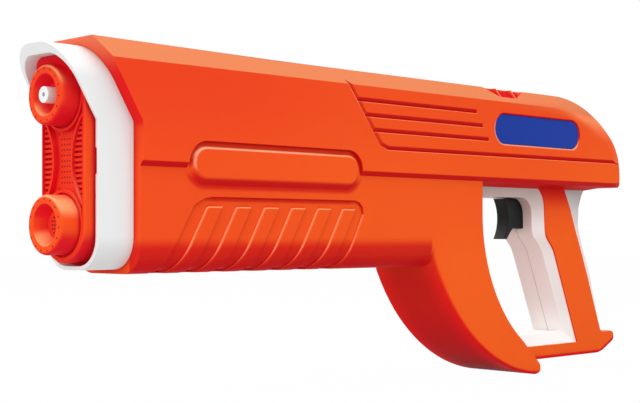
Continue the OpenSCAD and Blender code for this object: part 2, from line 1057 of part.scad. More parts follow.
module inlet_fitting() {
    color("Ivory")
        translate([x0, 0, 0])
            difference() {
                union() {
                    rod(block_x - tiny, inlet_seat, gallery_z, well_r - run_fit);
                    rod(block_x - 3, block_x, gallery_z, 5);
                    rod(block_x - 3 - barb_len, block_x - 2, gallery_z, barb_r);
                }
                rod(block_x - far, inlet_seat + 1, gallery_z, barb_bore);
            }
}

module inlet_ball() {
    color("Silver")
        translate([x0 + inlet_seat + sqrt(ball_r * ball_r - barb_bore * barb_bore) + 0.05, 0, gallery_z])
            sphere(ball_r);
}

module outlet_ball() {
    color("Silver")
        translate([x0 + riser_x, 0, outlet_seat + sqrt(ball_r * ball_r - seat_r * seat_r) + 0.05])
            sphere(ball_r);
}

module valve_cap() {
    color("Ivory")
        translate([x0, 0, 0])
            difference() {
                union() {
                    translate([riser_x, 0, well_top])
                        cylinder(8, r = 6);
                    rod(riser_x - 5 - barb_len, riser_x, outlet_z, barb_r);
                }
                translate([riser_x, 0, well_top - 1])
                    cylinder(outlet_z - well_top + 1, r = seat_r);
                rod(riser_x - far, riser_x, outlet_z, barb_bore);
            }
}

// Smooth route through given points
function spline(p, i, t) =
    let (a = p[max(i - 1, 0)], b = p[i], c = p[i + 1], d = p[min(i + 2, len(p) - 1)])
    0.5 * (2 * b + (c - a) * t + (2 * a - 5 * b + 4 * c - d) * t * t + (3 * b - a - 3 * c + d) * t * t * t);
function route(p, n) =
    concat([for (i = [0:len(p) - 2]) for (j = [0:n - 1]) spline(p, i, j / n)], [p[len(p) - 1]]);

// Ring of points square to a route that runs mainly in the side plane
function ring(p, i, r, sides) =
    let (
        n = len(p), t = p[min(i + 1, n - 1)] - p[max(i - 1, 0)], u = t / norm(t),
        v = cross([0, 1, 0], u), w = v / norm(v), q = cross(u, w)
    )
    [for (k = [0:sides - 1]) p[i] + r * (cos(360 * k / sides) * w + sin(360 * k / sides) * q)];

// Hollow tube along a route
module hose(points) {
    path = route(points, 4);
    bore = barb_r + 0.14;
    n = 10;
    last = len(path) - 1;
    rows = [for (r = [hose_r, bore]) for (i = [0:last]) ring(path, i, r, n)];
    inner = (last + 1) * n;
    end = last * n;
    polyhedron(
        [for (row = rows) for (p = row) p],
        [
            for (k = [0:n - 1]) let (l = (k + 1) % n) each concat(
                [for (j = [0:last - 1]) each [
                    [j * n + k, (j + 1) * n + k, (j + 1) * n + l],
                    [j * n + k, (j + 1) * n + l, j * n + l],
                    [inner + j * n + k, inner + (j + 1) * n + l, inner + (j + 1) * n + k],
                    [inner + j * n + k, inner + j * n + l, inner + (j + 1) * n + l]
                ]],
                [
                    [k, l, inner + l], [k, inner + l, inner + k],
                    [end + k, inner + end + l, end + l], [end + k, inner + end + k, inner + end + l]
                ]
            )
        ]
    );
}

module suction_hose() {
    color("LightCyan")
        translate([x0, 0, 0])
            hose([
                [tank_end + 3, 0, outlet_low], [tank_end + 13, 0, outlet_low],
                [tank_end + 17, 0, outlet_low], [tank_end + 29, 0, belly_z + 24],
                [tank_end + 38, 0, belly_z + 41], [tank_end + 50, 0, step_z + 6],
                [tank_end + 68, 0, gallery_z - 0.5], [block_x - 46, 0, gallery_z],
                [block_x - 3 - barb_len, 0, gallery_z], [block_x - 3, 0, gallery_z]
            ]);
}

module delivery_hose() {
    top = tank_top + hose_r + 3;
    color("LightCyan")
        translate([x0, 0, 0])
            hose([
                [riser_x - 6.2, 0, outlet_z], [riser_x - 16, 0, outlet_z],
                [riser_x - 20, 0, outlet_z], [riser_x - 52, 2, outlet_z + 1],
                [riser_x - 112, 8, top], [neck_x + 60, 15, top], [neck_x, 15.5, top], [neck_x - 40, 15, top],
                [tank_x + 19, 8, top], [tank_x + 5, 2, jet_z + 2.4],
                [20, 0, jet_z], [16, 0, jet_z], [6, 0, jet_z]
            ]);
}

module tank_shape(d) {
    r = tank_round - d;
    a = tank_x + tank_round;
    b = tank_end - tank_round;
    c = tank_low + tank_round;
    e = tank_top - tank_round;
    across(tank_half - d)
        polygon(concat(
            arc([a, c], r, 180, 270, 8), arc([b, c], r, 270, 360, 8),
            arc([b, e], r, 0, 90, 8), arc([a, e], r, 90, 180, 8)
        ));
}

module water_tank() {
    color("LightBlue")
        translate([x0, 0, 0])
            difference() {
                union() {
                    tank_shape(0);
                    translate([neck_x, 0, tank_top - 1])
                        cylinder(roof_in - tank_top + 1, r = neck_r);
                    translate([neck_x, 0, roof_in - 3])
                        cylinder(3, r = neck_flange);
                }
                tank_shape(tank_wall);
                translate([neck_x, 0, tank_top - 5])
                    cylinder(far, r = neck_bore);
                rod(tank_end - 5, tank_end + 1, outlet_low, 3.2 + run_fit);
            }
}

module tank_outlet() {
    color("Ivory")
        translate([x0, 0, 0])
            difference() {
                union() {
                    rod(tank_end - 4, tank_end + 1, outlet_low, 3.2);
                    rod(tank_end, tank_end + 3, outlet_low, 5);
                    rod(tank_end + 2, tank_end + 3 + barb_len, outlet_low, barb_r);
                }
                rod(tank_end - 5, tank_end + far, outlet_low, barb_bore);
            }
}

module strainer() {
    a = tank_end - 12;
    color("White")
        translate([x0, 0, 0])
            difference() {
                rod(a, tank_end - 4, outlet_low, 4.2);
                rod(a + 1, tank_end - 3, outlet_low, 3);
                for (i = [0:2])
                    translate([a + 2 + 2 * i, -far / 2, outlet_low - 0.5])
                        cube([1, far, 1]);
            }
}

module filler_stopper() {
    color("White")
        translate([x0 + neck_x, 0, roof_in])
            difference() {
                union() {
                    cylinder(wall - 0.2, r = filler_r);
                    translate([0, 0, -11])
                        cylinder(11 + tiny, r = neck_bore - 0.12);
                }
                for (s = [-1, 1])
                    translate([0, 0, 1])
                        linear_extrude(far)
                            intersection() {
                                circle(filler_r - 2);
                                translate([-far, s > 0 ? 1.6 : -far - 1.6])
                                    square([2 * far, far]);
                            }
                translate([0, 0, -7])
                    rotate_extrude()
                        translate([neck_bore - 1.7, -1])
                            square([3, 2]);
                translate([0, 0, -12])
                    cylinder(9, r = 4.6);
            }
}

module stopper_seal() {
    color("Black")
        translate([x0 + neck_x, 0, roof_in - 7])
            rotate_extrude()
                translate([neck_bore - 0.86, 0])
                    circle(0.8, $fn = 24);
}

module badge(s) {
    color("RoyalBlue")
        translate([x0, s * (upper_half - 1.5), 0])
            rotate([90, 0, 0])
                translate([0, 0, s > 0 ? -0.9 : 0])
                    linear_extrude(0.9)
                        badge_place(badge_len - 0.4, badge_h - 0.4);
}

module left_badge() {
    badge(-1);
}

module right_badge() {
    badge(1);
}

module shell_screws() {
    color("Silver")
        translate([x0, 0, 0])
            at_screws()
                difference() {
                    union() {
                        translate([0, 0, -head_y])
                            cylinder(head_y + 11, r = screw_r);
                        translate([0, 0, -head_y - 2])
                            cylinder(2, r = head_r);
                    }
                    for (a = [0, 90])
                        rotate([0, 0, a])
                            translate([-1.7, -0.4, -head_y - 3])
                                cube([3.4, 0.8, 2]);
                }
}

left_shell();
right_shell();
front_collar();
nozzle_plate();
jet_nozzle();
left_grip();
right_grip();
trigger();
plunger();
piston_seal();
pump_cylinder();
cylinder_cap();
trigger_spring();
valve_block();
inlet_fitting();
inlet_ball();
outlet_ball();
valve_cap();
suction_hose();
delivery_hose();
water_tank();
tank_outlet();
strainer();
filler_stopper();
stopper_seal();
left_badge();
right_badge();
shell_screws();
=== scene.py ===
import json
import math

import bpy
from mathutils import Matrix, Vector


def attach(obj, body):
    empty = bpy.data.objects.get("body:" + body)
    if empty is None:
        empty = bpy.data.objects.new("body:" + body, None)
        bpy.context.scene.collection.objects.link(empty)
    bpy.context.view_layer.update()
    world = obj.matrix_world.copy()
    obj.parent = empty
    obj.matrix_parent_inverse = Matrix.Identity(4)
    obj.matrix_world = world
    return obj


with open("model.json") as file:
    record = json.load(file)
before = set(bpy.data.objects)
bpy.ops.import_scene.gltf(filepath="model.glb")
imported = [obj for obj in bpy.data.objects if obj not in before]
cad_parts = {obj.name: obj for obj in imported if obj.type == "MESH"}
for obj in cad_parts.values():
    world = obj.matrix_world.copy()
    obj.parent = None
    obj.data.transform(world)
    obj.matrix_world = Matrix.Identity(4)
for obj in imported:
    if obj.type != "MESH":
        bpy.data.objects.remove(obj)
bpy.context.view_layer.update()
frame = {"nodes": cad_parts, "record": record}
nodes = frame["nodes"]
print("frame loaded:", len(nodes), "nodes")

mm = 0.001
scene = bpy.context.scene

# places that several pieces share, in metres
body = {"lip": -0.17889, "rimFace": -0.21289, "mouthFloor": -0.20659, "fieldFloor": -0.20069,
        "lowNozzle": 0.0895, "highNozzle": 0.1472}


class Sock:
    # wraps a node socket so that maths reads as plain expressions
    def __init__(self, tree, socket):
        self.tree = tree
        self.socket = socket

    def make(self, kind, settings=None, out=0, **inputs):
        return makeNode(self.tree, kind, settings, out, **inputs)

    def maths(self, operation, *others):
        inputs = {"i%d" % i: v for i, v in enumerate((self,) + others)}
        return self.make("ShaderNodeMath", {"operation": operation}, **inputs)

    def __add__(self, other):
        return self.maths("ADD", other)

    def __radd__(self, other):
        return self.maths("ADD", other)

    def __sub__(self, other):
        return self.maths("SUBTRACT", other)

    def __rsub__(self, other):
        return self.make("ShaderNodeMath", {"operation": "SUBTRACT"}, i0=other, i1=self)

    def __mul__(self, other):
        return self.maths("MULTIPLY", other)

    def __rmul__(self, other):
        return self.maths("MULTIPLY", other)

    def __abs__(self):
        return self.maths("ABSOLUTE")

    def __gt__(self, other):
        return self.maths("GREATER_THAN", other)

    def __lt__(self, other):
        return self.maths("LESS_THAN", other)

    def clamp(self):
        return self.maths("MAXIMUM", 0.0).maths("MINIMUM", 1.0)

    def step(self, low, high):
        # smooth 0 to 1 between two values
        return self.make("ShaderNodeMapRange", {"interpolation_type": "SMOOTHSTEP"},
                         i0=self, i1=low, i2=high, i3=0.0, i4=1.0)

    def blend(self, a, b):
        # colour a to colour b, by this value
        return self.make("ShaderNodeMix", {"data_type": "RGBA"}, out=2, i0=self, i6=a, i7=b)

    def axis(self, letter):
        return self.make("ShaderNodeSeparateXYZ", None, "XYZ".index(letter), i0=self)


def inputOf(node, key):
    # i0, i1 and so on are places in the row of inputs, other keys are names
    if key[0] == "i" and key[1:].isdigit():
        return node.inputs[int(key[1:])]
    return node.inputs[key.replace("_", " ")]


def makeNode(tree, kind, settings=None, out=0, **inputs):
    node = tree.nodes.new(kind)
    for key, value in (settings or {}).items():
        setattr(node, key, value)
    for key, value in inputs.items():
        socket = inputOf(node, key)
        if isinstance(value, Sock):
            tree.links.new(value.socket, socket)
        elif isinstance(value, (tuple, list)) and len(value) == 3 and len(socket.default_value) == 4:
            socket.default_value = (*value, 1.0)
        else:
            socket.default_value = value
    return Sock(tree, node.outputs[out])


def newMaterial(name, **sockets):
    # a Principled material, returned with its tree and shader for more detail
    material = bpy.data.materials.new(name)
    material.use_nodes = True
    tree = material.node_tree
    shader = tree.nodes["Principled BSDF"]
    for key, value in sockets.items():
        socket = shader.inputs[key.replace("_", " ")]
        socket.default_value = (*value, 1.0) if isinstance(value, tuple) else value
    return material, tree, shader


def feed(tree, shader, name, value):
    tree.links.new(value.socket, shader.inputs[name])


def objectPoint(tree):
    return makeNode(tree, "ShaderNodeTexCoord", None, 3)


def faceNormal(tree):
    return makeNode(tree, "ShaderNodeNewGeometry", None, 1)


def noise(tree, point, scale, detail):
    return makeNode(tree, "ShaderNodeTexNoise", None, 0, Vector=point, Scale=scale, Detail=detail)


def bump(tree, height, strength, distance):
    return makeNode(tree, "ShaderNodeBump", None, 0, Strength=strength, Distance=distance, Height=height)


grain = {"scale": 2600.0, "depth": 0.03 * mm, "strength": 0.12, "cloud": 38.0, "wave": 9.0,
         "cloudGloss": 0.12, "fineGloss": 0.06, "drift": 1.2}


def satin(tree, shader, roughness):
    # fine moulded grain with a slightly cloudy gloss; returns a slow wave for the colour
    point = objectPoint(tree)
    fine = noise(tree, point, grain["scale"], 2.0)
    cloud = noise(tree, point, grain["cloud"], 4.0)
    gloss = roughness + (cloud - 0.5) * grain["cloudGloss"] + (fine - 0.5) * grain["fineGloss"]
    feed(tree, shader, "Roughness", gloss)
    feed(tree, shader, "Normal", bump(tree, fine, grain["strength"], grain["depth"]))
    return noise(tree, point, grain["wave"], 2.0) - 0.5


# the orange's own colour and its yellower tone, then painted colours: a dark red for painted shade, a
# lighter red for the painted shade on the fin sides, two colours for painted sheen and one for painted
# highlight lines, with the thresholds where they show
orange = {"colour": (0.80, 0.054, 0.014), "warm": (0.90, 0.118, 0.014), "paintedShade": (0.62, 0.006, 0.009),
          "bright": (0.84, 0.008, 0.012), "paintedSheen": (0.68, 0.20, 0.08), "rim": (0.95, 0.33, 0.14),
          "pale": (0.88, 0.38, 0.27), "paintedSheenFrom": (0.157, 0.163), "roughness": 0.55, "specular": 0.03,
          "cavity": 9 * mm, "hollowShade": (0.20, 0.62), "open": (0.15, 0.65), "under": (0.12, 0.52),
          "flatUnder": (0.52, 0.85), "flatShare": 0.08, "drift": 0.10, "ahead": 0.0, "shade": 0.0,
          "brow": 1.0}


def whereOn(tree):
    # the place on the body, alike on both sides, and which way the face looks
    place = objectPoint(tree)
    look = faceNormal(tree)
    return {"x": place.axis("X"), "y": abs(place.axis("Y")), "z": place.axis("Z"),
            "up": look.axis("Z"), "down": -1.0 * look.axis("Z"), "front": -1.0 * look.axis("X")}


def distance(a, b):
    return (a * a + b * b).maths("SQRT")


def capsule(x, z, spec):
    # how far out from the edge of a long rounded shape
    past = (abs(x - spec["x"]) - spec["run"]).maths("MAXIMUM", 0.0)
    return distance(past, z - spec["z"]) - spec["reach"]


# painted shade on the nozzle plate behind its rims, redder where it faces forward and towards the top
plateFront = {"behind": 4 * mm, "half": 16.8 * mm, "rise": (0.112, 0.142), "look": (0.60, 0.95)}


def plateMasks(at, spec):
    behindRim = at["x"].step(body["rimFace"], body["rimFace"] + plateFront["behind"])
    ahead = at["front"].step(*plateFront["look"]) * behindRim * spec["ahead"]
    shade = at["z"].step(*plateFront["rise"]) * behindRim * (at["y"] < plateFront["half"]) * spec["shade"]
    return ahead, shade


# painted shadow on the grip plates close under the body
plateTop = {"rise": (0.097, 0.113), "end": 0.1175, "half": 16.6 * mm, "after": 0.1, "strength": 0.9}


def plateTopMask(at):
    near = at["z"].step(*plateTop["rise"]) * (at["z"] < plateTop["end"]) * plateTop["strength"]
    return near * (at["y"] < plateTop["half"]) * (at["x"] > plateTop["after"])


# painted shade on the rounded lower edge of the side, up to the fin
bellyEdge = {"top": 0.0843, "fade": 6 * mm, "end": 0.0232, "endFade": 1.5 * mm, "half": 17 * mm,
             "strength": 0.85}


def bellyMask(at):
    low = (bellyEdge["top"] - at["z"]).step(0.0, bellyEdge["fade"]) * bellyEdge["strength"]
    ahead = (bellyEdge["end"] - at["x"]).step(0.0, bellyEdge["endFade"])
    return low * ahead * (at["y"] > bellyEdge["half"])


# painted shade on the pocket floors in the roof slope: how far below the slope and where along the body
roofVents = {"across": 0.791, "up": 0.612, "slope": 0.1213, "sunk": (0.5 * mm, 1.0 * mm),
             "floor": 2.3 * mm, "look": 0.3, "from": 0.068, "to": 0.118}


def ventMask(at):
    sunk = roofVents["slope"] - at["y"] * roofVents["across"] - at["z"] * roofVents["up"]
    along = (at["x"] > roofVents["from"]) * (at["x"] < roofVents["to"]) * (at["up"] > roofVents["look"])
    return sunk.step(*roofVents["sunk"]) * (sunk < roofVents["floor"]) * along


# painted shade on the rounded lower edge of the bar, with its slant at the rear
barEdge = {"low": 0.0077, "bend": (0.2056, 0.0091), "slant": (-0.4407, 0.8975),
           "band": (1.1 * mm, 2.8 * mm), "half": 16.9 * mm, "after": 0.1}


def barMask(at):
    ahead = (at["x"] - barEdge["bend"][0]) * barEdge["slant"][0]
    rise = (at["z"] - barEdge["bend"][1]) * barEdge["slant"][1]
    height = (at["z"] - barEdge["low"]).maths("MINIMUM", ahead + rise)
    onBar = (at["y"] < barEdge["half"]) * (at["x"] > barEdge["after"])
    return (1.0 - height.step(*barEdge["band"])) * onBar


# the edge of the badge recess: a painted highlight below, painted shade above
badgeLip = {"x": 0.11931, "z": 0.1474, "run": 0.0341, "reach": 0.0089, "out": 0.35 * mm, "lean": 0.12,
            "width": (0.2 * mm, 0.7 * mm), "lightFrom": (0.0, 3 * mm), "darkFrom": (1 * mm, 4 * mm),
            "strength": 0.75}


def badgeMasks(at):
    line = 1.0 - abs(capsule(at["x"], at["z"], badgeLip) - badgeLip["out"]).step(*badgeLip["width"])
    turned = (badgeLip["x"] - at["x"]) * badgeLip["lean"] - (at["z"] - badgeLip["z"])
    light = line * turned.step(*badgeLip["lightFrom"]) * badgeLip["strength"]
    return light, line * (-1.0 * turned).step(*badgeLip["darkFrom"])


# the side pad: a painted highlight line on its upper edge and a painted shadow under it
sidePad = {"x": body["lip"] + 0.085, "z": 0.1187, "run": 0.0474, "reach": 0.0092, "face": 0.0269,
           "line": 1.9 * mm, "width": (0.3 * mm, 0.9 * mm), "lean": 0.12, "lightFrom": (2 * mm, 6 * mm),
           "light": 0.55, "shadowFrom": (0.0, 1 * mm), "shadowTo": (1.8 * mm, 4.2 * mm),
           "under": (3 * mm, 8 * mm), "shadow": 0.8}


def padMasks(at):
    out = capsule(at["x"], at["z"], sidePad)
    rise = at["z"] - sidePad["z"]
    shadow = out.step(*sidePad["shadowFrom"]) * (1.0 - out.step(*sidePad["shadowTo"]))
    shadow = shadow * (-1.0 * rise).step(*sidePad["under"]) * sidePad["shadow"]
    turned = rise + (sidePad["x"] - at["x"]) * sidePad["lean"]
    line = 1.0 - abs(out + sidePad["line"]).step(*sidePad["width"])
    return out < 0.0, line * turned.step(*sidePad["lightFrom"]) * sidePad["light"], shadow


# painted shade along the upper edge of the rib panel
panelTop = {"rise": (0.1004, 0.1016), "end": 0.1031, "from": (-0.142, -0.134), "to": -0.037,
            "fade": 6 * mm, "strength": 0.7}


def panelMask(at):
    high = at["z"].step(*panelTop["rise"]) * (at["z"] < panelTop["end"]) * panelTop["strength"]
    return high * at["x"].step(*panelTop["from"]) * (panelTop["to"] - at["x"]).step(0.0, panelTop["fade"])


# the rear curve, where the painted sheen along the roof edge fades out
tailCurve = {"x": 0.1316, "z": 0.0683, "radius": 0.095, "reach": (0.09, 0.14),
             "edge": (-4.5 * mm, 4 * mm), "skin": -1 * mm, "fade": (0.143, 0.167), "strength": 0.95}
roofSlope = {"look": (0.15, 0.60), "flat": (0.75, 0.97), "flatLoss": 0.55}


def paintedRoofSheen(at):
    # painted sheen: pale on the slopes, less on the flat top, and along the curve at the rear
    along = (at["x"] - tailCurve["x"]).maths("MAXIMUM", 0.0)
    beyond = distance(along, at["z"] - tailCurve["z"]) - tailCurve["radius"]
    rearward = at["x"].step(*tailCurve["reach"])
    flat = at["up"].step(*roofSlope["flat"]) * roofSlope["flatLoss"]
    onCurve = rearward * (beyond > tailCurve["skin"])
    slope = at["up"].step(*roofSlope["look"]) * (1.0 - flat) * (1.0 - onCurve)
    sweep = beyond.step(*tailCurve["edge"]) * at["z"].step(*tailCurve["fade"]) * rearward
    return (slope + sweep * tailCurve["strength"]).clamp()


# how yellow the orange gets: to the rear, further down, at the tail, on the fin and grip, on the pad
warmth = {"along": (-0.17, 0.0), "alongShare": 0.36, "down": 0.158, "downRun": 0.05, "downShare": 0.34,
          "tail": (0.12, 0.20), "tailShare": 0.22, "fin": 0.105, "finRun": 0.04, "finFrom": (0.0, 0.05),
          "finShare": 0.3, "padShare": 0.1}


def warmMask(at, onPad):
    warm = at["x"].step(*warmth["along"]) * warmth["alongShare"]
    warm = warm + (warmth["down"] - at["z"]).step(0.0, warmth["downRun"]) * warmth["downShare"]
    warm = warm + at["x"].step(*warmth["tail"]) * warmth["tailShare"]
    fin = (warmth["fin"] - at["z"]).step(0.0, warmth["finRun"]) * at["x"].step(*warmth["finFrom"])
    return (warm + fin * warmth["finShare"] + onPad * warmth["padShare"]).clamp()


# the painted shade on the front of the fin, lighter towards its sides
finFront = {"side": (9 * mm, 26 * mm), "after": (0.02, 0.03), "top": 0.078, "fade": 6 * mm}


def finMask(at):
    side = at["y"].step(*finFront["side"]) * at["x"].step(*finFront["after"])
    return side * (finFront["top"] - at["z"]).step(0.0, finFront["fade"])


# the leaning front edge over the collar: painted shade, red below, and a painted highlight, pale at the
# top
browTone = {"low": (0.73, 0.012, 0.011), "top": (0.79, 0.165, 0.078), "rise": (0.155, 0.173),
            "before": -0.150, "from": (0.133, 0.136), "look": (0.30, 0.55)}


def browMask(at):
    ahead = at["front"].step(*browTone["look"]) * (at["x"] < browTone["before"])
    return ahead * at["z"].step(*browTone["from"])


def orangeMoulding(name, spec):
    # painted shade: redder in hollows and on faces that look down; painted sheen: paler where the face
    # looks up; the masks above add more painted shade, shadow and highlight by place
    material, tree, shader = newMaterial(name, Specular_IOR_Level=spec["specular"])
    wave = satin(tree, shader, spec["roughness"])
    at = whereOn(tree)
    # how open each point is, for the painted shade in hollows and to keep the painted sheen out of them
    clear = makeNode(tree, "ShaderNodeAmbientOcclusion", {"samples": 8}, 1, Distance=spec["cavity"])
    hollowShade = (1.0 - clear).step(*spec["hollowShade"])
    below = at["down"].step(*spec["under"]) * (1.0 - spec["flatShare"])
    below = below + at["down"].step(*spec["flatUnder"]) * spec["flatShare"]
    ahead, shade = plateMasks(at, spec)
    vent = ventMask(at)
    badgeLight, badgeDark = badgeMasks(at)
    onPad, padLight, padShadow = padMasks(at)

    # painted shade: the strongest of the shade and shadow masks, with a slow drift
    paintedShade = below
    for mask in (hollowShade, ahead, vent, shade, plateTopMask(at), bellyMask(at), barMask(at), badgeDark,
                 padShadow, panelMask(at)):
        paintedShade = paintedShade.maths("MAXIMUM", mask)
    paintedShade = (paintedShade + wave * spec["drift"]).clamp()

    # the painted shade colour, lighter on the sides of the fin front, laid over the orange's own tone
    red = finMask(at).blend(spec["paintedShade"], spec["bright"])
    tone = paintedShade.blend(warmMask(at, onPad).blend(spec["colour"], spec["warm"]), red)
    # painted sheen on faces that look up, kept out of hollows, vents and the plate's painted shade
    sheen = paintedRoofSheen(at) * clear.step(*spec["open"]) * (1.0 - vent) * (1.0 - shade)
    # the painted sheen colour: brighter on the lower lips and edges, paler salmon up on the roof
    paintedSheen = at["z"].step(*spec["paintedSheenFrom"]).blend(spec["rim"], spec["paintedSheen"])
    # painted highlight lines on the badge lip and the upper edge of the side pad
    tone = badgeLight.maths("MAXIMUM", padLight).blend(sheen.blend(tone, paintedSheen), spec["pale"])
    # the brow's painted shade and highlight colour, red low and pale high
    browColour = at["z"].step(*browTone["rise"]).blend(browTone["low"], browTone["top"])
    feed(tree, shader, "Base Color", (browMask(at) * spec["brow"]).blend(tone, browColour))
    return material


def plainMoulding(name, colour, shade, roughness, specular=0.3):
    # one-colour plastic or rubber with a faint drift in tone
    material, tree, shader = newMaterial(name, Specular_IOR_Level=specular)
    wave = satin(tree, shader, roughness)
    feed(tree, shader, "Base Color", (wave * grain["drift"] + 0.5).clamp().blend(colour, shade))
    return material


# the grip's own white and seam-line colour, a brighter white for painted light low in the loop, and greys
# for painted shade under the body and on the back strap
gripTone = {"colour": (0.86, 0.81, 0.80), "bright": (0.95, 0.94, 0.93), "shade": (0.56, 0.48, 0.45),
            "strapShade": (0.54, 0.53, 0.52), "seam": (0.40, 0.34, 0.33), "roughness": 0.42, "specular": 0.3,
            "near": (0.086, 0.112), "floor": 0.045, "floorFade": 0.02, "strap": (0.155, 0.170),
            "line": (0.1 * mm, 0.45 * mm), "lineStrength": 0.5, "drift": 0.1}


def gripMoulding(name, spec):
    # white, with painted shade greyer close under the body, painted light brighter low in the loop, and a
    # thin darker line between the halves
    material, tree, shader = newMaterial(name, Specular_IOR_Level=spec["specular"])
    wave = satin(tree, shader, spec["roughness"])
    at = whereOn(tree)
    white = (spec["floor"] - at["z"]).step(0.0, spec["floorFade"]).blend(spec["colour"], spec["bright"])
    grey = at["x"].step(*spec["strap"]).blend(spec["shade"], spec["strapShade"])
    tone = (at["z"].step(*spec["near"]) + wave * spec["drift"]).clamp().blend(white, grey)
    line = (1.0 - at["y"].step(*spec["line"])) * spec["lineStrength"]
    feed(tree, shader, "Base Color", line.blend(tone, spec["seam"]))
    return material


orangePlastic = orangeMoulding("orangePlastic", orange)
# the nozzle plate's orange: a lighter painted shade colour, painted shade reaching into deeper hollows,
# and painted shade to the front and towards the top
orangeAhead = {**orange, "paintedShade": (0.76, 0.009, 0.019), "cavity": 22 * mm, "ahead": 0.5, "shade": 0.8,
               "brow": 0.0}
orangeFront = orangeMoulding("orangeFront", orangeAhead)
gripWhite = gripMoulding("gripWhite", gripTone)
plainTones = {
    "whitePlastic": {"colour": (0.77, 0.80, 0.80), "shade": (0.75, 0.78, 0.775), "roughness": 0.42},
    "blackPlastic": {"colour": (0.007, 0.009, 0.010), "shade": (0.006, 0.008, 0.009), "roughness": 0.48,
                     "specular": 0.2},
    "naturalPlastic": {"colour": (0.75, 0.74, 0.68), "shade": (0.70, 0.69, 0.63), "roughness": 0.45},
    "hosePlastic": {"colour": (0.68, 0.76, 0.76), "shade": (0.60, 0.70, 0.72), "roughness": 0.25},
    "sealRubber": {"colour": (0.02, 0.02, 0.02), "shade": (0.014, 0.014, 0.014), "roughness": 0.6},
    "badgeBlue": {"colour": (0.007, 0.040, 0.33), "shade": (0.006, 0.036, 0.30), "roughness": 0.35,
                  "specular": 0.08},
    # dark red for the dimple discs: painted shade of the dimples' hollows
    "dimpleShadeRed": {"colour": (0.14, 0.006, 0.006), "shade": (0.12, 0.005, 0.005), "roughness": 0.6,
                  "specular": 0.1},
}
plain = {name: plainMoulding(name, **tones) for name, tones in plainTones.items()}
steel = {"colour": (0.56, 0.56, 0.57), "scratch": 900.0, "detail": 3.0, "roughness": 0.25, "spread": 0.2}


def brightSteel(name, spec):
    material, tree, shader = newMaterial(name, Metallic=1.0, Base_Color=spec["colour"])
    scratch = noise(tree, objectPoint(tree), spec["scratch"], spec["detail"])
    feed(tree, shader, "Roughness", spec["roughness"] + (scratch - 0.5) * spec["spread"])
    return material


springSteel = brightSteel("springSteel", steel)

finishes = {"orange_plastic": orangePlastic, "white_plastic": plain["whitePlastic"],
            "black_plastic": plain["blackPlastic"], "natural_plastic": plain["naturalPlastic"],
            "clear_hose": plain["hosePlastic"], "seal_rubber": plain["sealRubber"],
            "blue_badge": plain["badgeBlue"], "spring_steel": springSteel}
slotOf = {part["node"]: part["material_slot"] for part in frame["record"]["subparts"]}
# the nozzle plate and the grip have a finish of their own
special = {"nozzle_plate": orangeFront, "left_grip": gripWhite, "right_grip": gripWhite}
for name, piece in nodes.items():
    piece.data.materials.clear()
    piece.data.materials.append(special.get(name, finishes[slotOf[name]]))
print("finishes set")

socketKinds = {float: "NodeSocketFloat", int: "NodeSocketInt", Vector: "NodeSocketVector",
               bpy.types.Material: "NodeSocketMaterial"}


def newTree(name, **inputs):
    # a Geometry Nodes tree with named inputs; returns it with its inputs by name
    tree = bpy.data.node_groups.new(name, "GeometryNodeTree")
    sides = tree.interface
    sides.new_socket("Geometry", in_out="INPUT", socket_type="NodeSocketGeometry")
    for key, value in inputs.items():
        socket = sides.new_socket(key, in_out="INPUT", socket_type=socketKinds[type(value)])
        socket.default_value = value
    sides.new_socket("Geometry", in_out="OUTPUT", socket_type="NodeSocketGeometry")
    entry = tree.nodes.new("NodeGroupInput")
    return tree, {socket.name: Sock(tree, socket) for socket in entry.outputs if socket.name}


def endTree(tree, shape):
    leave = tree.nodes.new("NodeGroupOutput")
    tree.links.new(shape.socket, leave.inputs[0])
    return tree


def useTree(piece, tree, **values):
    modifier = piece.modifiers.new(tree.name, "NODES")
    modifier.node_group = tree
    for item in tree.interface.items_tree:
        if item.in_out == "INPUT" and item.name in values:
            modifier[item.identifier] = values[item.name]


def shadingTree():
    # shades smooth and keeps only the sharp edges sharp
    tree, given = newTree("softShading", angle=math.radians(32))
    turn = makeNode(tree, "GeometryNodeInputMeshEdgeAngle")
    smooth = makeNode(tree, "GeometryNodeSetShadeSmooth", None, 0, Geometry=given["Geometry"])
    edges = makeNode(tree, "GeometryNodeSetShadeSmooth", {"domain": "EDGE"}, 0, Geometry=smooth,
                     Shade_Smooth=turn < given["angle"])
    return endTree(tree, edges)


sideRibs = {"from": body["lip"] + 0.012, "to": body["lip"] + 0.144, "top": 0.0993}
shoulder = {"y": 0.0262, "low": 0.1629, "top": 0.1665}
seamLine = {"half": 0.02 * mm}


